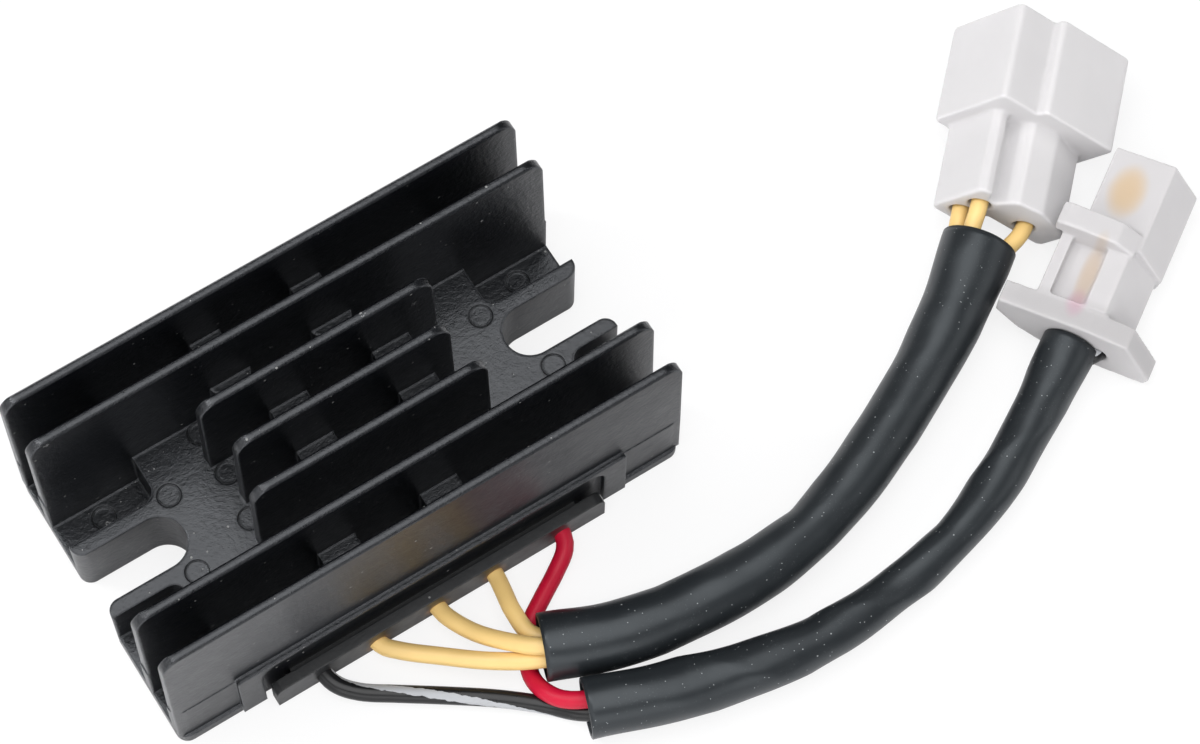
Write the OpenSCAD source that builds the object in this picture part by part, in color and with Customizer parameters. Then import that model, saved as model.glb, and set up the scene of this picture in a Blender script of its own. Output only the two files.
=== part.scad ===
// Motorcycle voltage regulator rectifier: a finned die casting with potted electronics,
// five leads in two sleeves, and two nylon connectors.
// X runs along the fins, the leads leave towards -Y, Z is up and z = 0 is the mounting face.

/* [Casting] */
// Length of the casting along the fins
length = 90; // [84:0.5:100]
// Depth of the base across the fins
depth = 51.2; // [50.4:0.2:54]
// Height of the fin tops above the mounting face
height = 35; // [28:0.5:45]
// Height of the platform and the mounting ears
platform_z = 13; // [12.6:0.2:15]
// Height of the floor in the end pockets
pocket_z = 3.8; // [2:0.2:6]
// Radius of the base's upright corners
corner_r = 2; // [0.5:0.25:3]
// Height of the lip round the foot of the outer faces
lip_z = 2.2; // [1:0.2:3]
// How far the lip stands out of the outer faces
lip_out = 0.5; // [0.2:0.1:0.8]

/* [Fins] */
// Distance between fin centres
fin_pitch = 7.85; // [7.6:0.05:8]
// Thickness of a fin at its top
fin_top = 1.5; // [1:0.1:2]
// Thickness of a fin at its root
fin_root = 2.1; // [1.6:0.1:2.8]
// Radius of a fin's upper corners
fin_corner_r = 3.2; // [1:0.2:6]
// Half length of the second and fourth short fins
short_fin_half = 20.6; // [16:0.2:24]
// Half length of the middle short fin
middle_fin_half = 18.9; // [14:0.2:24]

/* [Mounting slots] */
// Width of a mounting slot
slot_w = 8.6; // [6.4:0.2:9]
// Distance of a slot's round end from the middle of the casting
slot_centre_x = 33.1; // [32.5:0.1:35]
// Offset of the slots towards the rear
slot_y = 0.4; // [0:0.1:0.6]
// Width of the rail beside a slot
rail_w = 2.4; // [1.8:0.1:2.8]
// Rounding of a slot's mouth
slot_mouth_r = 2; // [0.5:0.25:2.2]
// Distance of the rear pockets from the middle
rear_pocket_x = 29.7; // [29.4:0.1:31]
// Distance of the front left pocket from the middle
left_pocket_x = 33.3; // [32.8:0.1:35]
// Distance of the front right pocket from the middle
right_pocket_x = 36; // [35:0.1:37]
// Radius of the pocket corners beside the rails
pocket_r = 2.2; // [1:0.2:2.4]

/* [Ejector marks] */
// Diameter of an ejector mark
mark_d = 3.6; // [2:0.2:4]
// Depth of an ejector mark
mark_deep = 0.2; // [0.1:0.05:0.4]
// Height of the ejector blocks' tops above the mounting face
block_z = 21.6; // [16:0.2:26]
// Length of an ejector block along the channel
block_l = 6.4; // [3:0.2:8]
// Radius of the half-round ejector bosses
boss_r = 2.9; // [1.5:0.1:3.4]

/* [Outlet] */
// Half length of the raised pad
pad_half = 34.4; // [33.8:0.1:36]
// Height of the pad's top edge
pad_z = 13.8; // [11:0.2:15]
// How far the pad stands out of the lip's face
pad_out = 0.4; // [0.2:0.1:0.8]
// Half length of the recess in the pad
recess_half = 30.4; // [29.9:0.1:31]
// Height of the recess
recess_z = 13; // [10:0.2:13.2]
// Depth of the recess
recess_deep = 1.1; // [0.6:0.1:1.4]
// Half length of the lead-out strip
strip_half = 29.4; // [26:0.1:29.6]
// Height of the lead-out strip's front
strip_z = 6; // [5:0.1:7]
// How far the lead-out strip stands out of the pad
strip_out = 1.9; // [1:0.1:3]
// Height of the strip's foot, behind its front
strip_foot_z = 4; // [3.8:0.1:4.6]

/* [Cavity] */
// Half length of the potted cavity
cavity_half = 26.8; // [25:0.1:27]
// Half depth of the potted cavity
cavity_half_y = 21.6; // [20.4:0.1:22]
// Thickness of the casting over the cavity
roof = 2.2; // [1.8:0.1:2.6]
// Depth of the potting below the mounting face
potting_sunk = 0.4; // [0.2:0.1:0.8]

/* [Electronics] */
// Thickness of the circuit substrate
board_t = 1; // [0.6:0.1:1.4]
// Length of the circuit substrate
board_l = 50; // [46:1:52]
// Depth of the circuit substrate
board_w = 36; // [34:1:40]
// Side of a power chip package
chip_side = 7; // [5:0.5:8]
// Height of a power chip package
chip_h = 2.2; // [1:0.1:3]
// Width of a lead tab
tab_w = 3; // [2:0.2:4]
// Thickness of a lead tab
tab_t = 0.8; // [0.5:0.1:1]

/* [Leads] */
// Diameter of a lead over its insulation
lead_d = 2.5; // [2:0.1:2.8]
// Outer diameter of the large sleeve
large_sleeve_d = 10.6; // [10:0.1:11.4]
// Outer diameter of the small sleeve
small_sleeve_d = 8.4; // [8:0.1:9]
// Wall of a sleeve
sleeve_wall = 0.6; // [0.4:0.1:0.8]

/* [Connectors] */
// Wall of a connector housing
nylon_wall = 1.3; // [1:0.1:1.6]
// Width of a blade in the three-way connector
blade_w = 6.3; // [5:0.1:6.4]
// Width of a blade in the two-way connector
blade2_w = 4.8; // [4:0.1:5.2]
// Thickness of a terminal blade
blade_t = 0.8; // [0.6:0.1:1]
// Length of a terminal blade
blade_l = 10; // [6:0.5:11]
// Length of a crimp barrel in the three-way connector
crimp_l = 6; // [4:0.5:7]
// Length of a crimp barrel in the two-way connector
crimp2_l = 14; // [6:0.5:14]
// Width of the three-way hood
hood3_w = 22.6; // [21.6:0.2:24]
// Height of the three-way hood's low side
hood3_h = 16.8; // [16.2:0.2:18]
// Rise of the three-way hood's high side
hood3_step = 2; // [1:0.2:3]
// Length of the three-way hood
hood3_l = 17; // [14:0.5:20]
// Length of the three-way body behind the hood
body3_l = 14.6; // [12:0.2:18]
// Length of the two-way housing in front of its flange
body2_l = 28.4; // [26:0.2:34]
// Thickness of the two-way flange
flange2_t = 3.9; // [2:0.1:5]

/* [Hidden] */

$fn = 48;
e = 0.01;
end_x = length / 2;
front_y = -depth / 2;
lip_y = front_y + pad_out;
face_y = lip_y + lip_out;
strip_y = front_y - strip_out;
recess_y = front_y + recess_deep;
cavity_z = platform_z - roof;
recess_r = 3;
slot_r = slot_w / 2;
rail_rear_y = slot_y + slot_r + rail_w;
rail_front_y = slot_y - slot_r - rail_w;
// Fin rows, counted in pitches from the middle one
full_rows = [3, 2, -2, -3];
fin_chamfer = 0.35;
fin_draft = 0.5;
// Ejector blocks: centres along X in the outer and the inner channels
outer_block_x = [-11.6, 6.2];
inner_block_x = [-6, 12];
rear_block_l = block_l - 1.2;
// Ejector marks on the platform and on the rear pocket floors
platform_marks = [[-28, 6.3], [27.8, 6.4], [-30.5, -6.6], [33, -6.6],
    [-19, 12.6], [-18.6, 4.8], [-19.4, -3.4]];
pocket_marks = [[-37.4, 11.8], [37.8, 11.6]];

// Lead-out: one hole for each lead, from left to right
lead_x = [-21.2, -11.6, -1, 9.2, 21.5];
lead_z = 2.2;
lead_r = lead_d / 2;
tab_y = -17.5;
foot_half = 25.6;
foot_y = -20;
tab_foot_l = 3;

// Electronics, seen from below
board_z = cavity_z - board_t;
thyristor_x = [-16, 0, 16];
diode_x = [-18, -3, 12];
chip_y = -8;
diode_y = 1;
transistor_at = [20, 4];
zener_at = [-14, 12];
resistor_at = [[-4, 12], [1, 12], [6, 12]];
capacitor_at = [14, 13];
capacitor_d = 5;
capacitor_l = 8;

// Three-way connector: corner of its mouth, heading and roll
mouth3 = [120.9, 11, 7.3];
heading3 = 45;
roll3 = 36.5;
split3 = 11.5;
low_edge3 = 7.4;
hood3_cut = 8;
hood3_r = 0.9;
hood3_floor = 4;
// Body behind the hood: two ridges with a groove between them
body3 = [[3.3, 0.5], [2.4, 1.4], [2.4, 12], [3.2, 13], [4.6, 13], [5.8, 10.8], [7.2, 10.8], [8.2, 13.6],
    [9, 14.6], [13.6, 15.3], [20.2, 13], [21.2, 11.8], [21.2, 7.1], [20.5, 6.4], [9.6, 6.4], [9.6, 0.5]];
// Blades, and the bores that their leads come in by
ways3 = [[6.1, 3.9], [6.1, 8.5], [15.2, 10.4]];
bores3 = [[6.1, 3.9], [6.1, 8.3], [15.2, 9]];

// Two-way connector: upper left edge at the front of its flange, and heading
corner2 = [105.05, -35.5, 10.6];
heading2 = 33.4;
shoulder2 = 12;
floor2 = 16;
latch2_at = 10.8;
latch2_l = 4;
ways2 = [[6.1, -5.9], [11.8, -5.9]];
flange2 = [[-5.3, -0.6], [9.5, 0.8], [16.2, 0.4], [21.2, -8], [20.6, -9.6], [5.6, -10.5], [-1.5, -7.6],
    [-5.3, -4.4]];
rear2 = [[-0.3, 0], [10.9, 1.4], [16.3, -6], [15.7, -9.6], [0.3, -9.6]];
nose2 = [[2.2, 0.2], [12.2, 1.4], [17.1, -6], [16.5, -9.6], [2.8, -9.6]];
pocket2 = [[3.4, -1.1], [11.6, 0], [15.8, -6], [15.4, -8.4], [3.8, -8.4]];
latch2 = [[-1.7, 0.2], [-1.7, 2.8], [-0.6, 3.4], [8.2, 3.7], [11.6, 1.6], [11.4, 0.6]];
// Shallow recess over the first crimp, between the flange and the latch bar
recess2 = [[1.7, -1.4], [7.4, -1.4], [7.4, 4], [1.7, 4]];
recess2_at = 0.4;

barrel_r = 1.6;
bore_r = 1.9;
crimp_gap = 0.1;

// Routes of the sleeves' middles over the ground, chosen by hand
large_route = [[8.6, -42.4], [20, -46.8], [33.1, -48.9], [46.1, -49.1], [59.8, -46.3], [72.6, -41.2],
    [84.3, -35.2], [94.6, -28.9], [103.2, -22.6]];
small_route = [[9.2, -54.1], [22.9, -58.9], [36.3, -62.4], [51, -63.5], [66.3, -62.1], [80.6, -57.8],
    [90.6, -53.1], [98.6, -48.5], [103.9, -44.9]];
// Sleeves that were bent while warm are narrower along the bend: size at each point of the route
large_fit = [1.02, 1, 0.97, 0.93, 0.9, 0.92, 0.93, 0.98, 1.02];
small_fit = [1.17, 1.16, 1.08, 0.97, 0.86, 0.87, 0.94, 0.95, 1];
// Leads between the outlet and the mouth of their sleeve
yellow_1_start = [[8.8, -30.6, 2.8], [8.1, -35, 3.9], [8.7, -39.8, 4.5]];
yellow_2_start = [[-0.6, -30, 2.7], [1.4, -34.4, 3.7], [4.9, -39.2, 5.7], [8.6, -42.7, 6.9]];
yellow_3_start = [[-9.8, -30.3, 2.5], [-4.8, -34.8, 3.2], [1, -39.6, 3.9], [7, -43.4, 4.5]];
red_start = [[20.5, -29.9, 2], [17, -32.4, 1.4], [13.3, -34.6, 1.3], [9.7, -37.1, 1.3],
    [7, -40.4, 1.3], [5.4, -44.4, 1.4], [5.7, -48.3, 3.4], [7.8, -51.4, 4.5]];
striped_start = [[-20.4, -30.1, 2], [-18.2, -32.5, 1.6], [-13.6, -35.7, 1.3], [-7, -40.2, 1.3],
    [-0.6, -44.8, 1.3], [4.8, -49.4, 1.3], [9.3, -53.9, 2.3]];
// Places of the leads across their sleeve: to the left of its middle, and above it
large_places = [[1.4, -0.8], [0, 1.6], [-1.4, -0.8]];
small_places = [[1.36, -0.2], [-1.32, -0.2]];

function unit(v) = v / norm(v);
function flat_dir(route, i) = unit(route[min(i + 1, len(route) - 1)] - route[max(i - 1, 0)]);
function beside(route, i, place, z) =
    let (d = flat_dir(route, i)) [route[i].x - d.y * place[0], route[i].y + d.x * place[0], z + place[1]];
function along3(u, a, v) = mouth3 + [
    a * cos(heading3) + (u * cos(roll3) + v * sin(roll3)) * sin(heading3),
    a * sin(heading3) - (u * cos(roll3) + v * sin(roll3)) * cos(heading3),
    v * cos(roll3) - u * sin(roll3)];
function along2(w, a, z) = corner2 + [
    a * cos(heading2) + w * sin(heading2),
    a * sin(heading2) - w * cos(heading2),
    z];
hood3_rear = -hood3_l;
body3_rear = -hood3_l - body3_l;
// Where a lead's copper ends: at its lead tab inside, and at its crimp barrel outside
function lead_root(i) = [[lead_x[i], tab_y, lead_z], [lead_x[i], strip_y - 0.4, lead_z]];
function into3(i) = [for (a = [body3_rear - 0.6, hood3_rear - crimp_l - crimp_gap])
    along3(bores3[i][0], a, bores3[i][1])];
function into2(i) = [for (a = [-flange2_t - 0.4, floor2 - crimp2_l - crimp_gap])
    along2(ways2[i][0], a, ways2[i][1])];
// Places along a route where a lead inside its sleeve has a point of its own
large_stops = [1, 3, 5, 7, 8];
small_stops = [1, 3, 4, 5, 7, 8];
function large_r(i) = large_sleeve_d / 2 * large_fit[i];
function small_r(i) = small_sleeve_d / 2 * small_fit[i];
function in_large(place) = [for (i = large_stops) beside(large_route, i, place, large_r(i))];
function in_small(place) = [for (i = small_stops) beside(small_route, i, place, small_r(i))];

function tangent(p, i) = unit(p[min(i + 1, len(p) - 1)] - p[max(i - 1, 0)]);
function ring(centre, dir, r, n) =
    let (side = unit(cross(dir, [0, 0, 1])), up = cross(side, dir))
    [for (k = [0 : n - 1]) centre + r * (cos((k + 0.5) * 360 / n) * side + sin((k + 0.5) * 360 / n) * up)];
function skin(first, n, rings, out) = [for (i = [0 : rings - 2], k = [0 : n - 1])
    let (a = first + i * n + k, b = first + i * n + (k + 1) % n)
    out ? [a, b, b + n, a + n] : [a, a + n, b + n, b]];
function fan(first, n, back) = [for (k = [0 : n - 1]) first + (back ? n - 1 - k : k)];

// A solid round cord through the points p
module cord(p, r, n = 8) {
    m = len(p);
    polyhedron(
        points = [for (i = [0 : m - 1]) each ring(p[i], tangent(p, i), r, n)],
        faces = concat([fan(0, n, true)], [fan((m - 1) * n, n, false)], skin(0, n, m, true)));
}

// A hollow sleeve through the points p, with an outer radius for each
module sleeve(p, r, wall, n = 12) {
    m = len(p);
    inner = m * n;
    polyhedron(
        points = concat(
            [for (i = [0 : m - 1]) each ring(p[i], tangent(p, i), r[i], n)],
            [for (i = [0 : m - 1]) each ring(p[i], tangent(p, i), r[i] - wall, n)]),
        faces = concat(
            skin(0, n, m, true),
            skin(inner, n, m, false),
            [for (k = [0 : n - 1]) [k, inner + k, inner + (k + 1) % n, (k + 1) % n]],
            [for (k = [0 : n - 1]) let (a = (m - 1) * n + k, b = (m - 1) * n + (k + 1) % n)
                [a, b, inner + b, inner + a]]));
}

// A rectangle about the middle with round corners
module round_plate(half_x, half_y, r) {
    square([2 * half_x, 2 * (half_y - r)], center = true);
    square([2 * (half_x - r), 2 * half_y], center = true);
    for (x = [-1, 1], y = [-1, 1])
        translate([x * (half_x - r), y * (half_y - r)]) circle(r);
}

// A plate standing on a line, its ends leaning in by draft, with its upper corners rounded
module round_top(half, h, r, draft = 0) {
    top = half - draft;
    polygon([[-half, 0], [half, 0], [top, h - r], [top - r, h], [-top + r, h], [-top, h - r]]);
    for (s = [-1, 1]) translate([s * (top - r), h - r]) circle(r);
}

// Stands a profile drawn in X and Z up, from y to y + t
module upright(y, t) {
    translate([0, y + t, 0]) rotate([90, 0, 0]) linear_extrude(t) children();
}

module fin(row, half) {
    y = row * fin_pitch;
    intersection() {
        upright(y - fin_pitch / 2, fin_pitch) round_top(half, height, fin_corner_r, fin_draft);
        translate([-half - 1, y, 0]) rotate([90, 0, 90]) linear_extrude(2 * half + 2)
            polygon([
                [-fin_root / 2, pocket_z / 2],
                [-fin_root / 2, platform_z],
                [-fin_top / 2, height - fin_chamfer],
                [-fin_top / 2 + fin_chamfer, height],
                [fin_top / 2 - fin_chamfer, height],
                [fin_top / 2, height - fin_chamfer],
                [fin_root / 2, platform_z],
                [fin_root / 2, pocket_z / 2]]);
    }
}

// An end pocket beside a rail, from x inwards to the casting's end, open at the end
module rail_pocket(side, x, y_rail, y_fin) {
    dir = sign(y_fin - y_rail);
    far = end_x + 1;
    mirror([side < 0 ? 1 : 0, 0]) {
        translate([x + pocket_r, min(y_rail, y_fin)]) square([far - x - pocket_r, abs(y_fin - y_rail)]);
        translate([x, min(y_rail + dir * pocket_r, y_fin)]) square([far - x, abs(y_fin - y_rail) - pocket_r]);
        translate([x + pocket_r, y_rail + dir * pocket_r]) circle(pocket_r);
    }
}

module end_pockets() {
    fin_side = fin_root / 2;
    for (side = [-1, 1]) {
        front_x = side < 0 ? left_pocket_x : right_pocket_x;
        rail_pocket(side, rear_pocket_x, rail_rear_y, 2 * fin_pitch - fin_side);
        rail_pocket(side, front_x, rail_front_y, -2 * fin_pitch + fin_side);
        mirror([side < 0 ? 1 : 0, 0]) {
            translate([rear_pocket_x, 2 * fin_pitch + fin_side])
                square([end_x + 1 - rear_pocket_x, fin_pitch - fin_root]);
            translate([front_x, -3 * fin_pitch + fin_side])
                square([end_x + 1 - front_x, fin_pitch - fin_root]);
        }
    }
}

// Open slot for a bolt, its mouth rounded at the casting's end
module bolt_slot() {
    translate([slot_centre_x, slot_y]) {
        circle(slot_r);
        translate([0, -slot_r]) square([end_x, slot_w]);
    }
    difference() {
        translate([end_x - slot_mouth_r, slot_y - slot_r - slot_mouth_r])
            square([slot_mouth_r + 1, slot_w + 2 * slot_mouth_r]);
        for (s = [-1, 1])
            translate([end_x - slot_mouth_r, slot_y + s * (slot_r + slot_mouth_r)]) circle(slot_mouth_r);
    }
}

module ejector_block(x, row, l) {
    translate([x - l / 2, row * fin_pitch - fin_pitch / 2, platform_z - 1])
        cube([l, fin_pitch, block_z - platform_z + 1]);
}

module heat_sink() color([0.16, 0.16, 0.17]) difference() {
    union() {
        // Base with its upright corners rounded, and the platform on it
        linear_extrude(lip_z) round_plate(end_x, -front_y - pad_out, corner_r);
        linear_extrude(platform_z) round_plate(end_x, -face_y, corner_r);
        translate([-end_x + corner_r, 0, 0]) cube([length - 2 * corner_r, -front_y, lip_z]);
        for (row = full_rows) fin(row, end_x);
        for (row = [1, -1]) fin(row, short_fin_half);
        fin(0, middle_fin_half);
        for (x = outer_block_x) {
            ejector_block(x, 2.5, rear_block_l);
            ejector_block(x, -2.5, block_l);
        }
        for (x = inner_block_x) {
            ejector_block(x, 0.5, block_l);
            ejector_block(x, -0.5, block_l);
        }
        // Half-round bosses on the second fin
        for (x = outer_block_x)
            translate([x, 2 * fin_pitch, platform_z - 1]) intersection() {
                cylinder(r = boss_r + fin_top / 2, h = block_z - platform_z + 1);
                translate([-10, -20, 0]) cube([20, 20, 40]);
            }
        upright(front_y, -front_y - 3 * fin_pitch) round_top(pad_half, pad_z, 0.8);
    }
    translate([0, 0, pocket_z]) linear_extrude(platform_z) intersection() {
        end_pockets();
        square([2 * end_x + 4, 2 * depth], center = true);
    }
    for (side = [0, 1]) mirror([side, 0, 0]) translate([0, 0, -1]) linear_extrude(platform_z + 2) bolt_slot();
    for (p = platform_marks) translate([p.x, p.y, platform_z - mark_deep]) cylinder(d = mark_d, h = 1);
    for (p = pocket_marks) translate([p.x, p.y, pocket_z - mark_deep]) cylinder(d = mark_d, h = 1);
    // Cavity for the electronics, open at the mounting face
    translate([0, 0, -1]) linear_extrude(cavity_z + 1) round_plate(cavity_half, cavity_half_y, 2);
    // Recess in the pad, and the way out for the leads
    upright(front_y - 1, recess_deep + 1) translate([0, -1]) round_top(recess_half, recess_z + 1, recess_r);
    translate([-foot_half, front_y, -1]) cube([2 * foot_half, 10, strip_foot_z + 1]);
}

// Lead-out strip: a front plate in the recess and a foot that the potting holds
module wire_outlet() color([0.2, 0.2, 0.21]) difference() {
    union() {
        upright(strip_y, strip_out) round_top(strip_half, strip_z, 1.5);
        translate([-foot_half, front_y - e, 0]) cube([2 * foot_half, foot_y - front_y + e, strip_foot_z]);
    }
    lead_holes();
}

module lead_holes() {
    for (x = lead_x) translate([x, tab_y, lead_z]) rotate([90, 0, 0]) cylinder(r = lead_r, h = 20);
}

module potting_compound() color([0.1, 0.1, 0.11]) difference() {
    translate([0, 0, potting_sunk]) linear_extrude(cavity_z - potting_sunk)
        round_plate(cavity_half, cavity_half_y, 2);
    translate([-foot_half, front_y - 1, -1]) cube([2 * foot_half, foot_y - front_y + 1, strip_foot_z + 1]);
    circuit_substrate();
    for (i = [0 : 2]) {
        thyristor(i);
        rectifier_diode(i);
    }
    control_transistor();
    zener_diode();
    gate_resistors();
    filter_capacitor();
    for (i = [0 : len(lead_x) - 1]) lead_tab(i);
    lead_holes();
}

module circuit_substrate() color([0.72, 0.74, 0.76])
    translate([-board_l / 2, -board_w / 2, board_z]) cube([board_l, board_w, board_t]);

// A part on the underside of the substrate, hanging down by h
module under_board(at, size, h)
    translate([at.x - size.x / 2, at.y - size.y / 2, board_z - h]) cube([size.x, size.y, h]);

module thyristor(i) color([0.13, 0.13, 0.14]) {
    under_board([thyristor_x[i], chip_y], [chip_side, chip_side], chip_h);
    under_board([thyristor_x[i], chip_y + chip_side / 2 + 0.8], [chip_side - 2, 1.6], 0.6);
}

module rectifier_diode(i) color([0.15, 0.15, 0.16])
    under_board([diode_x[i], diode_y], [chip_side - 1, chip_side - 2], chip_h);

module control_transistor() color([0.13, 0.13, 0.13]) under_board(transistor_at, [3, 1.6], 1.2);

module zener_diode() color([0.75, 0.3, 0.15]) translate([zener_at.x - 2, zener_at.y, board_z - 0.9])
    rotate([0, 90, 0]) cylinder(d = 1.8, h = 4);

module gate_resistors() color([0.1, 0.1, 0.1]) for (at = resistor_at) under_board(at, [3.2, 1.6], 0.6);

module filter_capacitor() color([0.2, 0.25, 0.5])
    translate([capacitor_at.x - capacitor_l / 2, capacitor_at.y, board_z - capacitor_d / 2])
        rotate([0, 90, 0]) cylinder(d = capacitor_d, h = capacitor_l);

// Tab from the substrate down to the end of a lead
module lead_tab(i) color([0.78, 0.6, 0.3]) {
    translate([lead_x[i] - tab_w / 2, tab_y, lead_z - lead_r]) cube([tab_w, tab_t, board_z - lead_z + lead_r]);
    translate([lead_x[i] - tab_w / 2, tab_y + tab_t, board_z - tab_t]) cube([tab_w, tab_foot_l, tab_t]);
}

module yellow_wire(i) color([0.93, 0.78, 0.38]) {
    starts = [yellow_1_start, yellow_2_start, yellow_3_start];
    cord(concat(lead_root(3 - i), starts[i], in_large(large_places[i]), into3(i)), lead_r);
}

module red_wire() color([0.8, 0.12, 0.2])
    cord(concat(lead_root(4), red_start, in_small(small_places[0]), into2(0)), lead_r);

module striped_wire() color([0.1, 0.1, 0.1])
    cord(concat(lead_root(0), striped_start, in_small(small_places[1]), into2(1)), lead_r);

module large_sleeve() color([0.12, 0.12, 0.13]) {
    n = len(large_route) - 1;
    path = [for (i = [0 : n]) [large_route[i].x, large_route[i].y, large_r(i)]];
    sleeve(path, [for (i = [0 : n]) large_r(i)], sleeve_wall);
}

module small_sleeve() color([0.12, 0.12, 0.13]) {
    n = len(small_route) - 1;
    path = [for (i = [0 : n]) [small_route[i].x, small_route[i].y, small_r(i)]];
    sleeve(path, [for (i = [0 : n]) small_r(i)], sleeve_wall);
}

module at3() translate(mouth3) rotate([0, 0, heading3 - 90]) rotate([0, roll3, 0]) children();
module at2() translate(corner2) rotate([0, 0, heading2 - 90]) children();

// Extrudes a profile drawn across a connector from a to a + l along its axis
module across(a, l) translate([0, a + l, 0]) rotate([90, 0, 0]) linear_extrude(l) children();

// A rectangle from one corner to the other, with round corners
module soft_rect(low, high, r) {
    translate([low.x + r, low.y]) square([high.x - low.x - 2 * r, high.y - low.y]);
    translate([low.x, low.y + r]) square([high.x - low.x, high.y - low.y - 2 * r]);
    for (x = [low.x + r, high.x - r], y = [low.y + r, high.y - r]) translate([x, y]) circle(r);
}

// Stepped outline of the three-way hood, drawn in by inset
module hood3(inset) {
    r = hood3_r - inset / 2;
    soft_rect([inset, inset], [split3 - inset, hood3_h - inset], r);
    soft_rect([low_edge3 + inset, hood3_cut + inset], [hood3_w - inset, hood3_h + hood3_step - inset], r);
}

module three_way_housing() color([0.88, 0.88, 0.87, 0.7]) at3() difference() {
    union() {
        across(hood3_rear, hood3_l) hood3(0);
        across(body3_rear, body3_l + e) polygon(body3);
    }
    across(hood3_rear + hood3_floor, hood3_l) hood3(nylon_wall);
    for (w = ways3)
        across(hood3_rear - e, hood3_floor + 1) translate(w) square([blade_w, blade_t], center = true);
    for (w = bores3) across(body3_rear - 1, body3_l + 1) translate(w) circle(bore_r);
}

module three_way_terminal(i) color([0.85, 0.68, 0.35]) at3() {
    across(hood3_rear, hood3_floor + blade_l) translate(ways3[i]) square([blade_w, blade_t], center = true);
    across(hood3_rear - crimp_l, crimp_l) translate(bores3[i]) circle(barrel_r);
}

module two_way_housing() color([0.88, 0.88, 0.87, 0.7]) at2() difference() {
    union() {
        across(-flange2_t, flange2_t) polygon(flange2);
        across(-e, shoulder2 + e) polygon(rear2);
        across(shoulder2 - e, body2_l - shoulder2 + e) polygon(nose2);
        across(latch2_at, latch2_l) polygon(latch2);
    }
    across(floor2 + 2, body2_l) polygon(pocket2);
    across(recess2_at, latch2_at - recess2_at) polygon(recess2);
    for (w = ways2) {
        across(floor2 - e, 3) translate(w) square([blade2_w, blade_t], center = true);
        across(-flange2_t - 1, floor2 + flange2_t + 1) translate(w) circle(bore_r);
    }
}

module two_way_terminal(i) color([0.85, 0.68, 0.35]) at2() {
    across(floor2, 2 + blade_l) translate(ways2[i]) square([blade2_w, blade_t], center = true);
    across(floor2 - crimp2_l, crimp2_l) translate(ways2[i]) circle(barrel_r);
}

heat_sink();
potting_compound();
circuit_substrate();
wire_outlet();
for (i = [0 : 2]) {
    thyristor(i);
    rectifier_diode(i);
    yellow_wire(i);
    three_way_terminal(i);
}
for (i = [0 : 1])
    two_way_terminal(i);
for (i = [0 : len(lead_x) - 1])
    lead_tab(i);
control_transistor();
zener_diode();
gate_resistors();
filter_capacitor();
red_wire();
striped_wire();
large_sleeve();
small_sleeve();
three_way_housing();
two_way_housing();
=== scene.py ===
import math
import bpy
from mathutils import Matrix, Vector


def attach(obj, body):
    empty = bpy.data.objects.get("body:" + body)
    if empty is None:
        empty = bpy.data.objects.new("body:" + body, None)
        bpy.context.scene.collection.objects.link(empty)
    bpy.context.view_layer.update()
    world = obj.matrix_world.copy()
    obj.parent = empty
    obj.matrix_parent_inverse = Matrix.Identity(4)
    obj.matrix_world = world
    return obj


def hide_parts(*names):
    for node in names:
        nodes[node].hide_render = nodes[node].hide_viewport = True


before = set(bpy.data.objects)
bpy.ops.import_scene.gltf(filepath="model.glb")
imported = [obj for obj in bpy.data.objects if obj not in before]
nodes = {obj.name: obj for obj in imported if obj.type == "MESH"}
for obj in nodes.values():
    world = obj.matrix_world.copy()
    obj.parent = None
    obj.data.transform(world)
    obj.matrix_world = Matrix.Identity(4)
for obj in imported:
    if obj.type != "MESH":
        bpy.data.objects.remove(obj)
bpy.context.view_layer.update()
mm = 0.001
print("frame loaded:", len(nodes), "nodes")


# Camera: the place, turn and lens that line up with the casting's edges
camera = {"place": (-0.08010, -0.18210, 0.52763), "turn": (21.975, -0.962, -32.411), "lens": 107.6,
    "sensor": 36, "near": 0.01}

def makeCamera():
    data = bpy.data.cameras.new("camera")
    data.lens = camera["lens"]
    data.sensor_width = camera["sensor"]
    data.clip_start = camera["near"]
    eye = bpy.data.objects.new("camera", data)
    eye.location = camera["place"]
    eye.rotation_euler = [math.radians(a) for a in camera["turn"]]
    bpy.context.collection.objects.link(eye)
    bpy.context.scene.camera = eye

makeCamera()
print("camera set")


# Shader helpers: numbers on sockets as plain expressions
class Signal:
    def __init__(self, finish, socket):
        self.finish = finish
        self.socket = socket

    def math(self, operation, first, second, clamp=False):
        settings = {"operation": operation, "use_clamp": clamp}
        return Signal(self.finish, self.finish.add("Math", settings, first, second).outputs[0])

    def __add__(self, other): return self.math("ADD", self, other)
    def __radd__(self, other): return self.math("ADD", other, self)
    def __sub__(self, other): return self.math("SUBTRACT", self, other)
    def __rsub__(self, other): return self.math("SUBTRACT", other, self)
    def __mul__(self, other): return self.math("MULTIPLY", self, other)
    def __rmul__(self, other): return self.math("MULTIPLY", other, self)
    def __gt__(self, other): return self.math("GREATER_THAN", self, other)
    def __lt__(self, other): return self.math("LESS_THAN", self, other)
    def clamped(self): return self.math("ADD", self, 0, clamp=True)


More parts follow.
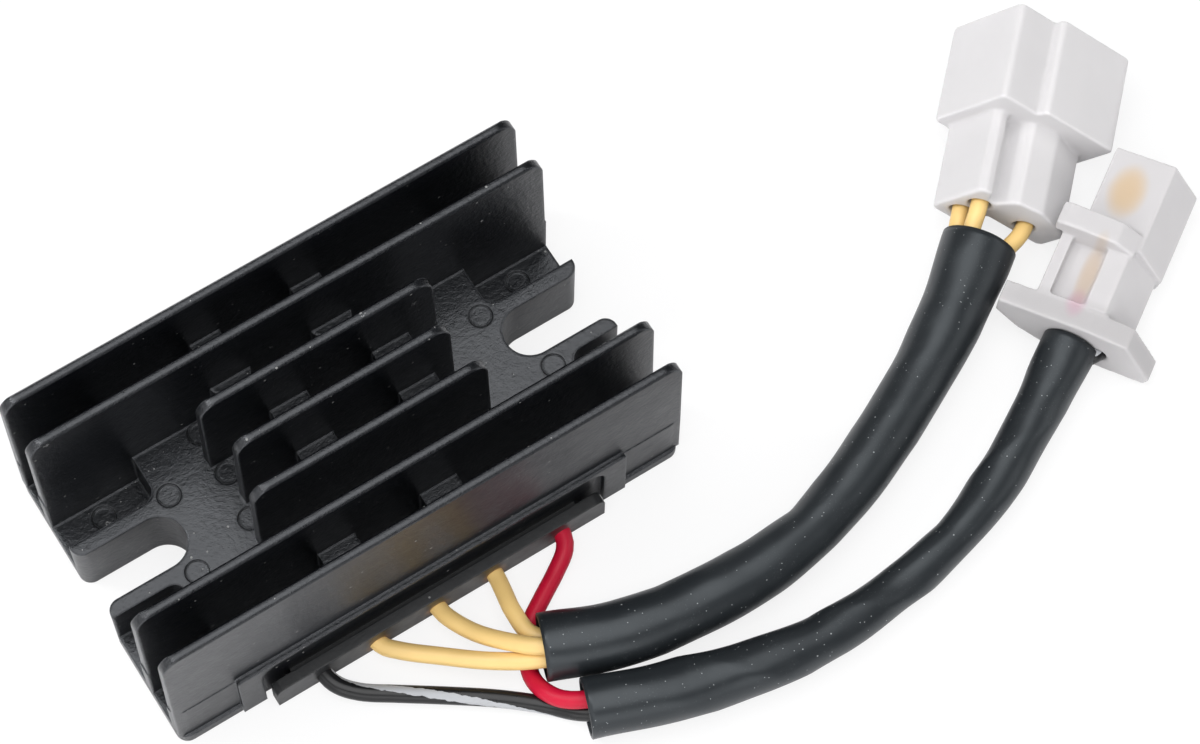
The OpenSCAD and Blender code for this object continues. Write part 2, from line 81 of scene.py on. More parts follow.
class Finish:
    # A Principled material: constants go on its own sockets, what varies is linked
    def __init__(self, name, **constants):
        self.material = bpy.data.materials.new(name)
        self.material.use_nodes = True
        self.tree = self.material.node_tree
        self.shader = self.tree.nodes["Principled BSDF"]
        for key, value in constants.items():
            self.shader.inputs[key.replace("_", " ")].default_value = value
        self.coords = None

    def put(self, socket, item):
        if isinstance(item, Signal):
            self.tree.links.new(item.socket, socket)
        elif hasattr(item, "is_output"):
            self.tree.links.new(item, socket)
        elif item is not None:
            socket.default_value = item

    def add(self, kind, settings=None, *items, **values):
        # Any node: its settings first, then what its sockets hold, in order or by name
        node = self.tree.nodes.new("ShaderNode" + kind)
        for key, value in (settings or {}).items():
            setattr(node, key, value)
        for socket, item in zip(node.inputs, items):
            self.put(socket, item)
        for key, value in values.items():
            self.put(node.inputs[key.replace("_", " ")], value)
        return node

    def place(self):
        if self.coords is None:
            self.coords = self.add("TexCoord").outputs["Object"]
        return self.coords

    def noise(self, scale, detail=2, roughness=0.5, stretch=None):
        where = self.place()
        if stretch:
            where = self.add("Mapping", Vector=where, Scale=stretch).outputs[0]
        node = self.add("TexNoise", Vector=where, Scale=scale, Detail=detail, Roughness=roughness)
        return Signal(self, node.outputs[0])

    def specks(self, scale, size, share):
        # Small round specks on a share of the cells, as a mask from 0 to 1
        node = self.add("TexVoronoi", Vector=self.place(), Scale=scale, Randomness=1)
        near = Signal(self, node.outputs["Distance"])
        pick = Signal(self, self.add("SeparateColor", Color=node.outputs["Color"]).outputs[0])
        return (near < size) * (pick < share)

    def vector(self, operation, first, second):
        node = self.add("VectorMath", {"operation": operation}, first, second)
        return Signal(self, node.outputs["Value"])

    def reach(self, origin, direction):
        # How far a place lies from an origin, along a direction
        return self.vector("DOT_PRODUCT", self.place(), tuple(direction)) - origin.dot(direction)

    def near(self, point, size):
        # 1 at a point, falling to 0 at a distance
        return (1 - self.vector("DISTANCE", self.place(), tuple(point)) * (1 / size)).clamped()

    def layers(self, rows):
        # Noises laid over each other: the scale, detail, roughness and share of each
        return sum(self.noise(*row[:3]) * row[3] for row in rows)

    def blend(self, factor, first, second):
        node = self.add("Mix", {"data_type": "RGBA"})
        self.put(node.inputs[0], factor)
        for socket, item in ((node.inputs[6], first), (node.inputs[7], second)):
            self.put(socket, (*item, 1) if isinstance(item, tuple) else item)
        return node.outputs[2]

    def set(self, name, item):
        self.put(self.shader.inputs[name], item)

    def bump(self, height, strength, distance, normal=None):
        node = self.add("Bump", Height=height, Strength=strength, Distance=distance)
        self.put(node.inputs["Normal"], normal)
        self.set("Normal", node.outputs[0])


def isUp(finish):
    # 1 where the surface looks up, 0 on walls
    normal = finish.add("NewGeometry").outputs["Normal"]
    return Signal(finish, finish.add("SeparateXYZ", Vector=normal).outputs[2])


# Where things lie: connectors' corners and headings, and the leads' routes, in millimetres
threeWay = {"corner": (120.9, 11, 7.3), "heading": 45, "roll": 36.5, "ways": [(6.1, 3.9), (6.1, 8.3), (15.2, 9)],
    "rear": -31.6, "crimp": -23.1}
twoWay = {"corner": (105.05, -35.5, 10.6), "heading": 33.4, "roll": 0, "ways": [(6.1, -5.9), (11.8, -5.9)],
    "rear": -3.8, "crimp": 1.9}

def onConnector(part, across, along, up):
    # A place on a connector from its own corner: across, along its axis and up
    head = math.radians(part["heading"])
    roll = math.radians(part["roll"])
    side = across * math.cos(roll) + up * math.sin(roll)
    x, y, z = part["corner"]
    return Vector((
        x + along * math.cos(head) + side * math.sin(head),
        y + along * math.sin(head) - side * math.cos(head),
        z + up * math.cos(roll) - across * math.sin(roll))) * mm

# A sleeve's size along its route is r times fit, and leads are held in it at the points in stops.
# A wave is its height, turns along and round, and phase. A dent is its depth, place, width and side.
largeSleeve = {
    "route": [(8.6, -42.4), (20, -46.8), (33.1, -48.9), (46.1, -49.1), (59.8, -46.3), (72.6, -41.2),
        (84.3, -35.2), (94.6, -28.9), (103.2, -22.6)],
    "fit": [1.02, 1, 0.97, 0.93, 0.9, 0.92, 0.94, 1.03, 1.16],
    "r": 5.3, "wall": 0.6, "stops": [1, 3, 5, 7], "waves": [(0.06, 3, 2, 0.4), (0.04, 7, 1, 2)],
    "dents": [(0.9, 0.455, 0.045, 165), (0.35, 0.2, 0.06, 170)]}
smallSleeve = {
    "route": [(9.2, -54.1), (22.9, -58.9), (36.3, -62.4), (51, -63.5), (66.3, -62.1), (80.6, -57.8),
        (90.6, -53.1), (98.6, -48.5), (106, -44)],
    "fit": [1.17, 1.16, 1.08, 0.97, 0.86, 0.87, 0.94, 0.98, 1.13],
    "r": 4.2, "wall": 0.6, "stops": [1, 3, 4, 5, 7], "waves": [(0.2, 2.6, 1, 0.8), (0.09, 6, 2, 1.7)],
    "dents": [(0.5, 0.36, 0.035, 165), (0.45, 0.62, 0.03, 150), (0.3, 0.5, 0.04, 40)]}

# A lead's place and mouth are how far it lies left of and above the sleeve's axis, inside and at its far
# end. Its stain is the colour and strength of the epoxy round it. A stripe turns by degrees a millimetre.
leads = {
    "yellow_wire_1": {"x": 9.2, "stain": (0.2, 0.1, 0.035, 0.8),
        "start": [(8.8, -30.6, 2.8), (8.1, -35, 3.9), (8.7, -39.8, 4.5)],
        "sleeve": largeSleeve, "place": (1.4, -0.8), "mouth": (4, 0.4), "plug": threeWay, "way": 0},
    "yellow_wire_2": {"x": -1, "stain": (0.2, 0.1, 0.035, 0.8),
        "start": [(-0.6, -30, 2.7), (1.4, -34.4, 3.7), (4.9, -39.2, 5.7), (8.6, -42.7, 6.9)],
        "sleeve": largeSleeve, "place": (0, 1.6), "mouth": (1.8, 3.4), "plug": threeWay, "way": 1},
    "yellow_wire_3": {"x": -11.6, "stain": (0.2, 0.1, 0.035, 0.8),
        "start": [(-9.8, -30.3, 2.5), (-4.8, -34.8, 3.2), (1, -39.6, 3.9), (7, -43.4, 4.5)],
        "sleeve": largeSleeve, "place": (-1.4, -0.8), "mouth": (-4, -0.6), "plug": threeWay, "way": 2},
    "red_wire": {"x": 21.5, "stain": (0.17, 0.05, 0.06, 0.7),
        "start": [(20.5, -29.9, 2), (17, -32.4, 1.4), (13.4, -34.6, 1.3), (9.7, -37.1, 1.3),
        (7, -40.4, 1.3), (5.4, -44.4, 1.4), (5.7, -48.3, 3.4), (7.8, -51.4, 4.5)],
        "sleeve": smallSleeve, "place": (1.42, -0.2), "mouth": (1.6, 0), "plug": twoWay, "way": 0},
    "striped_wire": {"x": -21.2, "stain": (0.02, 0.02, 0.02, 0.5),
        "start": [(-20.4, -30.1, 2), (-18.2, -32.5, 1.6), (-13.6, -35.7, 1.3),
        (-7, -40.2, 1.3), (-0.6, -44.8, 1.3), (4.8, -49.4, 1.3), (9.3, -53.9, 2.3)],
        "sleeve": smallSleeve, "place": (-1.42, -0.2), "mouth": (-2.8, -0.2), "plug": twoWay, "way": 1,
        "twist": {"side": 130, "from": 18, "turn": -5.5}}}
# Where leads start and leave the outlet, how far they run straight at each end, and their mesh
lead = {"r": 1.4, "root": (-17.5, 2.2), "exit": -27.5, "clear": 0.4, "behind": 0.5, "around": 20, "step": 0.9}

def sleevePoint(sleeve, i, place):
    route = sleeve["route"]
    i %= len(route)
    ahead = Vector(route[min(i + 1, len(route) - 1)]) - Vector(route[max(i - 1, 0)])
    ahead.normalize()
    x, y = route[i]
    return Vector((x - ahead.y * place[0], y + ahead.x * place[0], sleeve["r"] * sleeve["fit"][i] + place[1]))

def leadRoute(part):
    rootY, z = lead["root"]
    points = [Vector((part["x"], rootY, z)), Vector((part["x"], lead["exit"] - lead["clear"], z))]
    points += [Vector(p) for p in part["start"]]
    points += [sleevePoint(part["sleeve"], i, part["place"]) for i in part["sleeve"]["stops"]]
    points.append(sleevePoint(part["sleeve"], -1, part["mouth"]))
    plug = part["plug"]
    across, up = plug["ways"][part["way"]]
    depths = plug["rear"] - lead["behind"], plug["crimp"]
    points += [onConnector(plug, across, along, up) / mm for along in depths]
    return [p * mm for p in points]

def smoothLine(points, step):
    # A centripetal curve through the points, with a point about every step
    line = []
    ends = [2 * points[0] - points[1]] + points + [2 * points[-1] - points[-2]]
    for i in range(1, len(ends) - 2):
        a, b, c, d = ends[i - 1:i + 3]
        t0 = 0
        t1 = t0 + math.sqrt((b - a).length)
        t2 = t1 + math.sqrt((c - b).length)
        t3 = t2 + math.sqrt((d - c).length)
        count = max(1, round((c - b).length / step))
        for k in range(count):
            t = t1 + (t2 - t1) * k / count
            ab = a.lerp(b, (t - t0) / (t1 - t0))
            bc = b.lerp(c, (t - t1) / (t2 - t1))
            cd = c.lerp(d, (t - t2) / (t3 - t2))
            abc = ab.lerp(bc, (t - t0) / (t2 - t0))
            bcd = bc.lerp(cd, (t - t1) / (t3 - t1))
            p = abc.lerp(bcd, (t - t1) / (t2 - t1))
            p.z = max(p.z, lead["r"] * mm)
            line.append(p)
    return line + [points[-1]]

def lineLength(line):
    return sum((b - a).length for a, b in zip(line, line[1:]))

def placeMesh(name, mesh):
    mesh.polygons.foreach_set("use_smooth", [True] * len(mesh.polygons))
    piece = bpy.data.objects.new(name, mesh)
    bpy.context.collection.objects.link(piece)
    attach(piece, "root")
    return piece

def newMesh(name, vertices, faces):
    mesh = bpy.data.meshes.new(name)
    mesh.from_pydata([tuple(v) for v in vertices], [], faces)
    mesh.validate()
    return placeMesh(name, mesh)

def ringsAlong(line, radius, around):
    # Rings of points round a line, with no twist; radius is a function of place along and angle
    rings = []
    total = len(line) - 1
    for i, p in enumerate(line):
        ahead = (line[min(i + 1, total)] - line[max(i - 1, 0)]).normalized()
        side = ahead.cross(Vector((0, 0, 1))).normalized()
        up = side.cross(ahead)
        ring = []
        for k in range(around):
            angle = 2 * math.pi * k / around
            r = radius(i / total, angle)
            ring.append(p + side * (r * math.cos(angle)) + up * (r * math.sin(angle)))
        rings.append(ring)
    return rings

def skinFaces(count, around):
    faces = []
    for i in range(count - 1):
        for k in range(around):
            a = i * around + k
            b = i * around + (k + 1) % around
            faces.append((a, b, b + around, a + around))
    return faces

def makeLead(name, part):
    route = leadRoute(part)
    line = smoothLine(route, lead["step"] * mm)
    around = lead["around"]
    rings = ringsAlong(line, lambda t, angle: lead["r"] * mm, around)
    faces = skinFaces(len(rings), around)
    faces += [tuple(range(around))[::-1], tuple(range((len(rings) - 1) * around, len(rings) * around))]
    piece = newMesh(name.replace("_wire", "_lead"), [v for ring in rings for v in ring], faces)
    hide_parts(name)
    if "twist" in part:
        markStripe(piece, line, part["twist"])
    return piece, line

def markStripe(piece, line, twist):
    # How squarely each point faces the printed stripe, whose side of the lead turns with the distance
    far = 0
    values = []
    around = lead["around"]
    for i, p in enumerate(line):
        far += (p - line[max(i - 1, 0)]).length / mm
        for k in range(around):
            turn = twist["side"] + twist["turn"] * (far - twist["from"])
            values.append(math.cos(2 * math.pi * k / around - math.radians(turn)))
    piece.data.attributes.new("stripe", "FLOAT", "POINT").data.foreach_set("value", values)

cords = {}
for name, part in leads.items():
    cords[name] = makeLead(name, part)
    print(name, "length", round(lineLength(cords[name][1]), 4))


# Sleeves: hollow tubes whose size follows the bend, with shallow waves and a rounded lip
def sleeveRadius(sleeve, t):
    fit = sleeve["fit"]
    place = t * (len(fit) - 1)
    i = min(int(place), len(fit) - 2)
    f = place - i
    f = f * f * (3 - 2 * f)
    return sleeve["r"] * (fit[i] * (1 - f) + fit[i + 1] * f)

# The tubes' mesh, how their dents fade and hug a side, and how the cut ends are rounded
sleeveMesh = {"around": 48, "step": 0.8, "soften": 0.006, "hug": 1.5,
    "turns": [0, 30, 60, 90, 120, 150, 180], "bulge": 0.25, "lipFrom": 0.04, "lipSpan": 0.92}

def closeLoop(count, around):
    # Faces from the last ring back to the first
    last = (count - 1) * around
    return [(last + k, last + (k + 1) % around, (k + 1) % around, k) for k in range(around)]

def makeSleeve(name, sleeve):
    around = sleeveMesh["around"]
    points = [Vector((x, y, sleeve["r"] * f)) * mm for (x, y), f in zip(sleeve["route"], sleeve["fit"])]
    line = smoothLine(points, sleeveMesh["step"] * mm)
    def outer(t, angle):
        wave = abs(sum(h * math.sin(a * t * math.pi * 2 + b * angle + c) for h, a, b, c in sleeve["waves"]))
        for depth, place, width, side in sleeve["dents"]:
            facing = max(0, math.cos(angle - math.radians(side)))
            fade = math.exp(-math.hypot(t - place, sleeveMesh["soften"]) / width)
            wave += depth * fade * facing ** sleeveMesh["hug"]
        return (sleeveRadius(sleeve, t) - wave) * mm
    wall = sleeve["wall"] * mm
    rings = ringsAlong(line, outer, around)
    inner = ringsAlong(line, lambda t, angle: outer(t, angle) - wall, around)
    def lip(ring, core, out):
        # Rings that round the cut edge off, from the outside to the inside
        turned = []
        for a in sleeveMesh["turns"]:
            push = out * (wall * sleeveMesh["bulge"] * math.sin(math.radians(a)))
            share = (1 - math.cos(math.radians(a))) / 2
            share = sleeveMesh["lipFrom"] + sleeveMesh["lipSpan"] * share
            turned.append([p.lerp(q, share) + push for p, q in zip(ring, core)])
        return turned
    first = lip(rings[0], inner[0], (line[0] - line[1]).normalized())
    last = lip(rings[-1], inner[-1], (line[-1] - line[-2]).normalized())
    loop = first[::-1] + rings + last + inner[::-1]
    faces = skinFaces(len(loop), around) + closeLoop(len(loop), around)
    # No point lies below the floor
    resting = [Vector((v.x, v.y, max(v.z, 0))) for ring in loop for v in ring]
    piece = newMesh(name.replace("_sleeve", "_tube"), resting, faces)
    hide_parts(name)
    return piece

largeTube = makeSleeve("large_sleeve", largeSleeve)
smallTube = makeSleeve("small_sleeve", smallSleeve)
print("sleeves made")


# Connector shells: the CAD shapes with every moulded edge rounded over
shells = {
    "three_way_housing": {"piece": "three_way_shell", "plug": threeWay, "grid": 0.26, "rounds": 10},
    "two_way_housing": {"piece": "two_way_shell", "plug": twoWay, "grid": 0.22, "rounds": 9}}
softening = {"weld": 0.002, "pull": 0.5, "keep": 0.5}

def softCopy(name, settings):
    # Turned square to its own axes, made into an even mesh and smoothed, so corners round and flats stay flat
    source = nodes[name].data
    plug = settings["plug"]
    heading = Matrix.Rotation(math.radians(plug["heading"] - 90), 4, "Z")
    roll = Matrix.Rotation(math.radians(plug["roll"]), 4, "Y")
    turn = Matrix.Translation(Vector(plug["corner"]) * mm) @ (heading @ roll)
    square = source.copy()
    square.transform(turn.inverted())
    draft = bpy.data.objects.new("draft", square)
    bpy.context.collection.objects.link(draft)
    weld = draft.modifiers.new("weld", "WELD")
    weld.merge_threshold = softening["weld"] * mm
    even = draft.modifiers.new("even", "REMESH")
    even.mode = "VOXEL"
    even.voxel_size = settings["grid"] * mm
    even.use_smooth_shade = True
    soft = draft.modifiers.new("soft", "SMOOTH")
    soft.factor = softening["pull"]
    soft.iterations = settings["rounds"]
    thin = draft.modifiers.new("thin", "DECIMATE")
    thin.ratio = softening["keep"]
    mesh = bpy.data.meshes.new_from_object(draft.evaluated_get(bpy.context.evaluated_depsgraph_get()))
    mesh.transform(turn)
    bpy.data.objects.remove(draft)
    piece = placeMesh(settings["piece"], mesh)
    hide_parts(name)
    return piece

shellPieces = {name: softCopy(name, settings) for name, settings in shells.items()}
print("connector shells made")


# Materials
bevel = {"samples": 6, "gain": 4}

def softEdges(finish, radius):
    # The normal as if edges were rounded over
    return finish.add("Bevel", {"samples": bevel["samples"]}, radius * mm).outputs[0]

def edgeMask(finish, normal):
    # Where the rounded normal differs from the surface's own
    flat = finish.add("NewGeometry").outputs["Normal"]
    return (1 - finish.vector("DOT_PRODUCT", normal, flat)) * bevel["gain"]

castFinish = {"base": (0.0006, 0.0009, 0.0016), "pale": (0.0022, 0.0028, 0.0044), "patch": 75, "rough": 0.24,
    # The lighter edge colour here is partly worn paint and partly a painted highlight on the rounded edges
    "wallRough": 0.12, "edge": 0.7, "rubAndHighlight": (0.12, 0.125, 0.135), "rubAndHighlightNoise": 900,
    "dust": (0.42, 0.42, 0.41), "coarseDust": (430, 0.085, 0.2), "fineDust": (1150, 0.14, 0.05),
    # The dark colour fills paint chips, and painted shade in the grooves round the ejector marks
    "lint": (0.5, 0.5, 0.5), "lintSpecks": (240, 0.12, 0.05), "dark": (0.0005, 0.0005, 0.0005),
    "chips": (300, 0.07, 0.06), "marks": [(-28, 6.3), (27.8, 6.4), (-30.5, -6.6), (33, -6.6), (-19, 12.6),
    (-18.6, 4.8), (-19.4, -3.4), (-37.4, 11.8), (37.8, 11.6)], "markR": 1.85, "grooveSharp": 60,
    "grain": [(1500, 3, 0.6, 0.7), (5200, 2, 0.6, 0.3), (600, 3, 0.5, 0.5), (260, 2, 0.5, 0.35)],
    "bump": 0.85, "depth": 0.00011}

def castPaint(name, look):
    f = Finish(name, IOR=1.53, Specular_Tint=(0.92, 0.95, 1, 1))
    normal = softEdges(f, look["edge"])
    edge = edgeMask(f, normal)
    patch = f.noise(look["patch"], 4)
    up = isUp(f)
    # Lighter paint on the rounded edges: partly rubbed-off wear, partly a painted highlight
    rubAndHighlight = (edge * edge * (f.noise(look["rubAndHighlightNoise"], 3) * 1.8 - 0.3)).clamped()
    colour = f.blend(patch, look["base"], look["pale"])
    colour = f.blend(rubAndHighlight * 0.7, colour, look["rubAndHighlight"])
    dust = ((f.specks(*look["coarseDust"]) + f.specks(*look["fineDust"])) * (up > -0.2)).clamped()
    lint = f.specks(*look["lintSpecks"]) * (f.noise(2600, 2) > 0.52)
    chip = f.specks(*look["chips"])
    shadedMarkGroove = 0                                                  # painted shade in the grooves round the ejector marks, with a dip in the bump
    plan = f.add("VectorMath", {"operation": "MULTIPLY"}, f.place(), (1, 1, 0)).outputs[0]
    for x, y in look["marks"]:
        away = f.vector("DISTANCE", plan, (x * mm, y * mm, 0)) * (1 / mm) - look["markR"]
        shadedMarkGroove = shadedMarkGroove + (1 - away * away * look["grooveSharp"]).clamped()
    shadedMarkGroove = (shadedMarkGroove * (f.noise(600, 3) * 1.5 + 0.1)).clamped() * (up > 0.5)
    colour = f.blend(dust * 0.5, colour, look["dust"])
    colour = f.blend(lint * 0.35, colour, look["lint"])
    # Dark paint chips, and painted shade in the mark grooves
    colour = f.blend((chip + shadedMarkGroove).clamped(), colour, look["dark"])
    f.set("Base Color", colour)
    walls = (1 - up).clamped() * look["wallRough"]
    f.set("Roughness", look["rough"] + walls + (patch - 0.5) * 0.14 + (f.noise(420, 3) - 0.5) * 0.12
        + dust * 0.3 + shadedMarkGroove * 0.4)
    f.bump(f.layers(look["grain"]) - chip * 1.2 + dust * 0.8 - shadedMarkGroove * 1.2, look["bump"], look["depth"], normal)
    return f.material

outletLook = {"base": (0.006, 0.0065, 0.0075), "pale": (0.014, 0.015, 0.0165), "patch": 300, "edge": 0.3,
    "stainR": 3.6, "ragged": 700, "hole": (23.6, 2.9), "holeR": 0.7, "dark": (0.002, 0.002, 0.002),
    "dust": (0.4, 0.4, 0.4), "dustSpecks": (520, 0.1, 0.12), "rough": 0.4}

def outletPlastic(name, look):
    f = Finish(name, IOR=1.5)
    colour = f.blend(f.noise(look["patch"], 3), look["base"], look["pale"])
    for part in leads.values():                              # epoxy that crept up where each lead leaves
        close = f.near(Vector((part["x"], lead["exit"], lead["root"][1])) * mm, look["stainR"] * mm)
        ragged = ((close + (f.noise(look["ragged"], 3) - 0.5) * 0.5) * 3 - 0.9).clamped()
        colour = f.blend(ragged * part["stain"][3], colour, part["stain"][:3])
    # A small hole drawn as a dark spot of painted shade, with a dip in the bump
    holeX, holeZ = look["hole"]
    hole = f.near(Vector((holeX, lead["exit"], holeZ)) * mm, look["holeR"] * mm) > 0.25
    colour = f.blend(hole, colour, look["dark"])
    f.set("Base Color", f.blend(f.specks(*look["dustSpecks"]) * 0.5, colour, look["dust"]))
    f.set("Roughness", look["rough"] + (f.noise(500, 3) - 0.5) * 0.2)
    f.bump(f.noise(1600, 3) - hole * 2, 0.3, 0.0001, softEdges(f, look["edge"]))
    return f.material

def plastic(name, base, rough, grain=0.1, dust=0, **more):
    f = Finish(name, **more)
    patch = f.noise(160, 3)
    colour = f.blend(patch, tuple(c * 0.9 for c in base), tuple(min(1, c * 1.1) for c in base))
    if dust:
        colour = f.blend(f.specks(520, 0.08, 0.1) * dust, colour, (0.5, 0.5, 0.5))
    f.set("Base Color", colour)
    f.set("Roughness", rough + (f.noise(500, 2) - 0.5) * 0.15)
    f.bump(f.noise(1800, 2), grain, 0.0001)
    return f.material

stripedLook = {"base": (0.007, 0.0072, 0.008), "ink": (0.42, 0.43, 0.45), "dust": (0.5, 0.5, 0.5),
    "dustSpecks": (700, 0.09, 0.14), "ragged": 0.22, "printed": 0.88, "rough": 0.3}

def stripedPlastic(name, look):
    # Black insulation with a printed stripe whose edge is ragged
    f = Finish(name, IOR=1.4)
    facing = Signal(f, f.add("Attribute", {"attribute_name": "stripe"}).outputs["Fac"])
    stripe = (facing + (f.noise(900, 3) - 0.5) * look["ragged"]) > look["printed"]
    patch = f.noise(160, 3)
    dark = f.blend(patch, tuple(c * 0.8 for c in look["base"]), tuple(c * 1.3 for c in look["base"]))
    dark = f.blend(f.specks(*look["dustSpecks"]) * 0.35, dark, look["dust"])
    pale = f.blend(patch, look["ink"], tuple(c * 0.85 for c in look["ink"]))
    f.set("Base Color", f.blend(stripe, dark, pale))
    f.set("Roughness", look["rough"] + (f.noise(500, 2) - 0.5) * 0.15 + stripe * 0.12)
    f.bump(f.noise(1800, 2) + stripe * 0.5, 0.08, 0.0001)
    return f.material

sleeveLook = {"base": (0.0085, 0.0103, 0.012), "pale": (0.0145, 0.017, 0.0195), "dust": (0.4, 0.42, 0.43),
    "rough": 0.36, "patch": 60, "smear": 240, "coarseDust": (560, 0.07, 0.3), "fineDust": (1500, 0.13, 0.2),
    "powder": 3200, "bumps": [(120, 2, 0.5, 1.4), (900, 3, 0.5, 0.25), (4000, 2, 0.5, 0.12)], "depth": 0.0003}

def sleevePlastic(name, look):
    f = Finish(name, IOR=1.46, Specular_Tint=(0.88, 0.95, 1, 1))
    smear = f.noise(look["smear"], 4, 0.6)
    colour = f.blend(f.noise(look["patch"], 3), look["base"], look["pale"])
    dust = (f.specks(*look["coarseDust"]) + f.specks(*look["fineDust"])).clamped()
    powder = ((f.noise(look["powder"], 2, 0.7) - 0.6) * 4).clamped() * (smear > 0.52)
    colour = f.blend((dust * 0.55 + powder * 0.12).clamped(), colour, look["dust"])
    f.set("Base Color", colour)
    f.set("Roughness", look["rough"] + (smear - 0.5) * 0.18 + dust * 0.25)
    f.bump(f.layers(look["bumps"]), 0.2, look["depth"])
    return f.material

def metal(name, base, rough):
    f = Finish(name, Metallic=1)
    patch = f.noise(300, 3)
    f.set("Base Color", f.blend(patch, tuple(c * 0.8 for c in base), base))
    f.set("Roughness", rough + (f.noise(900, 2, stretch=(1, 1, 6)) - 0.5) * 0.2)
    return f.material

nylonLook = {"base": (0.56, 0.55, 0.558), "pale": (0.605, 0.594, 0.602), "rough": 0.6,
    "speck": (0.3, 0.29, 0.3)}
bladeLook = nylonLook | {"base": (0.5, 0.488, 0.496), "pale": (0.55, 0.538, 0.546)}

def connectorAxes(part):
    head = math.radians(part["heading"])
    return Vector((math.cos(head), math.sin(head), 0)), Vector((math.sin(head), -math.cos(head), 0))

def nylon(name, look, glowsAndShade=()):
    # Milky nylon, with a painted glow where metal or leads lie behind the wall, and painted shade where it is
    # thin
    f = Finish(name, IOR=1.45, Subsurface_Weight=0.5, Subsurface_Scale=0.0012, Subsurface_Radius=(1, 1, 1),
        Specular_IOR_Level=0.25)
    colour = f.blend(f.noise(110, 3), look["base"], look["pale"])
    for part, across, along, halfAcross, halfAlong, tint, strength in glowsAndShade:
        ahead, side = connectorAxes(part)
        corner = Vector(part["corner"]) * mm
        u = (f.reach(corner, side) - across * mm) * (1 / (halfAcross * mm))
        v = (f.reach(corner, ahead) - along * mm) * (1 / (halfAlong * mm))
        away = u * u + v * v
        wobble = (f.noise(260, 2) - 0.5) * 0.15
        # Each spot is painted light: a glow for the blade, barrel and red lead, and painted shade on the flange
        paintedSpot = (1 - away * 0.25 + wobble).clamped()
        paintedSpot = paintedSpot * paintedSpot * (3 - 2 * paintedSpot)
        colour = f.blend(paintedSpot * strength, colour, tint)
    speck = f.specks(190, 0.05, 0.1)
    f.set("Base Color", f.blend(speck * 0.5, colour, look["speck"]))
    f.set("Roughness", look["rough"] + (f.noise(500, 3) - 0.5) * 0.14)
    f.bump(f.noise(300, 3) * 0.8 + f.noise(2400, 2) * 0.15, 0.12, 0.0002)
    return f.material

def dress(material, *names):
    for name in names:
        for slot in nodes[name].material_slots:
            slot.material = material

def skinWith(piece, material):
    piece.data.materials.clear()
    piece.data.materials.append(material)

dress(castPaint("satinBlackPaint", castFinish), "heat_sink")
dress(outletPlastic("outletBlack", outletLook), "wire_outlet")
dress(plastic("pottingEpoxy", (0.015, 0.015, 0.016), 0.35, dust=0.3), "potting_compound")
dress(plastic("ceramic", (0.7, 0.72, 0.74), 0.5), "circuit_substrate")
chips = [n for n in nodes if n.startswith(("thyristor", "rectifier", "control", "gate"))]
dress(plastic("chipEpoxy", (0.02, 0.02, 0.02), 0.5), *chips)
dress(plastic("diodeGlass", (0.6, 0.2, 0.08), 0.2), "zener_diode")
dress(plastic("capacitorSleeve", (0.08, 0.1, 0.3), 0.3), "filter_capacitor")
dress(metal("tinnedCopper", (0.7, 0.6, 0.45), 0.35), *[n for n in nodes if n.startswith("lead_tab")])
dress(metal("brass", (0.85, 0.62, 0.26), 0.3), *[n for n in nodes if "way_terminal" in n])
# Part, place across and along, half sizes, tint and strength of each painted spot: painted shade on the flange,
# a painted glow of a blade, its barrel and the red lead
bladeGlowsAndShade = [(twoWay, 9, -2, 16, 1.9, (0.38, 0.37, 0.375), 0.7),
    (twoWay, 6.5, 21.4, 1.8, 2.9, (0.54, 0.4, 0.25), 0.85),
    (twoWay, 6.1, 6, 0.9, 3.6, (0.5, 0.4, 0.31), 0.75),
    (twoWay, 6.1, 0.6, 1, 1.8, (0.46, 0.26, 0.34), 0.5)]
skinWith(shellPieces["three_way_housing"], nylon("naturalNylon", nylonLook))
skinWith(shellPieces["two_way_housing"], nylon("nylonOverBlades", bladeLook, bladeGlowsAndShade))
leadSkins = {"yellow": plastic("yellowPvc", (0.77, 0.53, 0.2), 0.42, 0.06),
    "red": plastic("redPvc", (0.47, 0.005, 0.03), 0.42, 0.06, IOR=1.33),
    "striped": stripedPlastic("stripedPvc", stripedLook)}
for name, (piece, line) in cords.items():
    kind = name.split("_")[0]
    skinWith(piece, leadSkins[kind])
tube = sleevePlastic("sleevePvc", sleeveLook)
for piece in (largeTube, smallTube):
    skinWith(piece, tube)
print("materials made")

# Cords: the pieces each lead carries, and each lead's real length from the potting to the crimp, worked out but
# not kept
carries = {name: [nodes["three_way_terminal_" + name[-1]]] for name in leads if "yellow" in name}
carries["yellow_wire_2"] += [largeTube, shellPieces["three_way_housing"]]
carries["red_wire"] = [nodes["two_way_terminal_1"], smallTube, shellPieces["two_way_housing"]]
carries["striped_wire"] = [nodes["two_way_terminal_2"]]
for name, (piece, line) in cords.items():
    round(lineLength(line), 3)


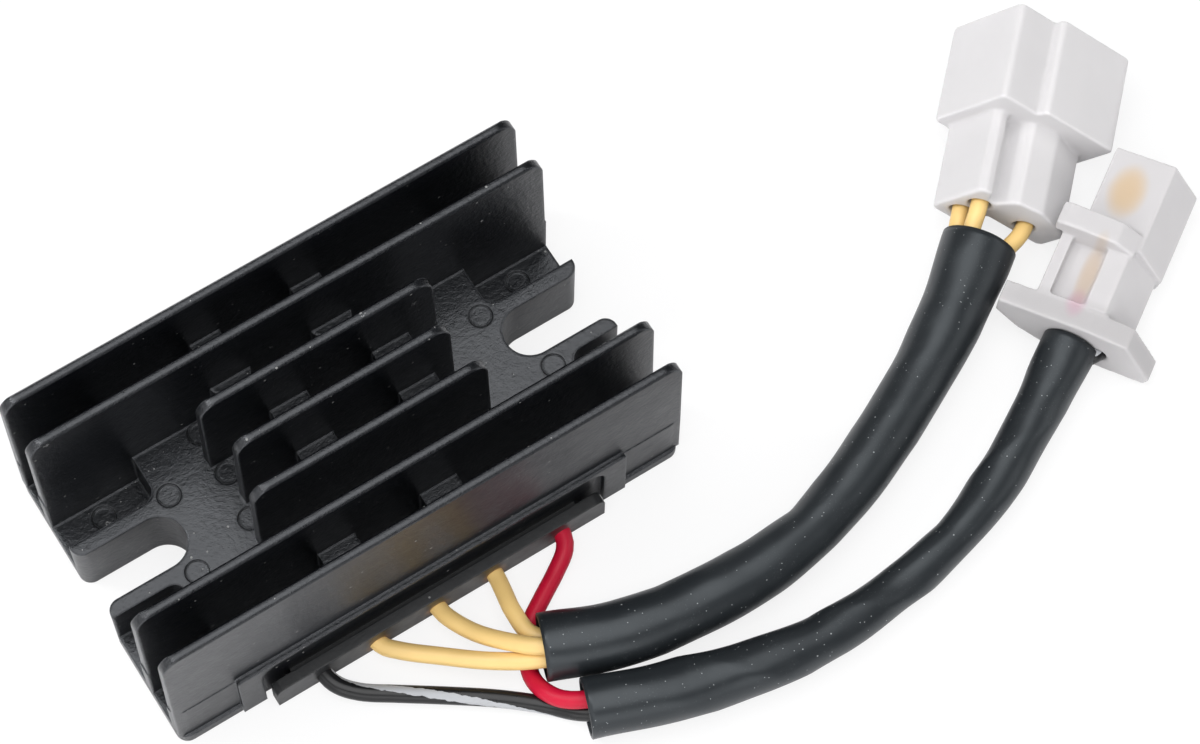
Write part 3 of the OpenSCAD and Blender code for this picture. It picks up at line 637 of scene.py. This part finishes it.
# Floor, lamps and world, in metres and watts
stage = {"white": 0.8, "world": 0.2, "half": 3, "drop": 0.0001, "colour": (0.86, 0.86, 0.87, 1)}
lamps = {
    "overhead": {"place": (-0.06, 0, 0.9), "aim": (0.04, -0.02, 0), "size": (1.1, 0.9), "power": 10},
    "glint": {"place": (-0.55, 0.5, 0.75), "aim": (0, 0, 0), "size": (0.14, 0.14), "power": 3},
    "front": {"place": (-0.45, -0.82, 0.36), "aim": (0.05, -0.04, 0.01), "size": (1.2, 0.6), "power": 5.3},
    "left": {"place": (-0.9, 0.05, 0.42), "aim": (0.04, -0.02, 0), "size": (0.9, 0.6), "power": 2.7},
    "right": {"place": (0.9, -0.4, 0.45), "aim": (0.06, -0.02, 0), "size": (0.8, 0.6), "power": 2.2}}

def makeStage():
    data = bpy.data.meshes.new("floor")
    half = stage["half"]
    corners = [(-half, -half, 0), (half, -half, 0), (half, half, 0), (-half, half, 0)]
    data.from_pydata(corners, [], [(0, 1, 2, 3)])
    floor = bpy.data.objects.new("floor", data)
    bpy.context.collection.objects.link(floor)
    floor.location.z = -stage["drop"]
    f = Finish("floorWhite", Roughness=0.8, Specular_IOR_Level=0.1)
    f.set("Base Color", stage["colour"])
    rays = f.add("LightPath").outputs
    camera, through = [Signal(f, rays["Is " + kind + " Ray"]) for kind in ("Camera", "Transmission")]
    seen = (camera + through).clamped()
    glow = f.add("Emission", None, (1, 1, 1, 1), 1)
    mix = f.add("MixShader", None, seen * stage["white"], f.shader.outputs[0], glow.outputs[0])
    f.put(f.tree.nodes["Material Output"].inputs[0], mix.outputs[0])
    data.materials.append(f.material)

def makeLamp(name, place, aim, size, power):
    data = bpy.data.lights.new(name, "AREA")
    data.shape = "RECTANGLE"
    data.size, data.size_y = size
    data.energy = power
    lamp = bpy.data.objects.new(name, data)
    lamp.location = place
    lamp.rotation_euler = (Vector(aim) - Vector(place)).to_track_quat("-Z", "Y").to_euler()
    bpy.context.collection.objects.link(lamp)

def makeWorld(strength):
    world = bpy.data.worlds.new("studio")
    bpy.context.scene.world = world
    world.use_nodes = True
    back = world.node_tree.nodes["Background"]
    back.inputs[0].default_value = (1, 1, 1, 1)
    back.inputs[1].default_value = strength

makeStage()
for name, lamp in lamps.items():
    makeLamp(name, **lamp)
makeWorld(stage["world"])
print("floor and lamps made")
bpy.context.scene.view_settings.view_transform = "Standard"
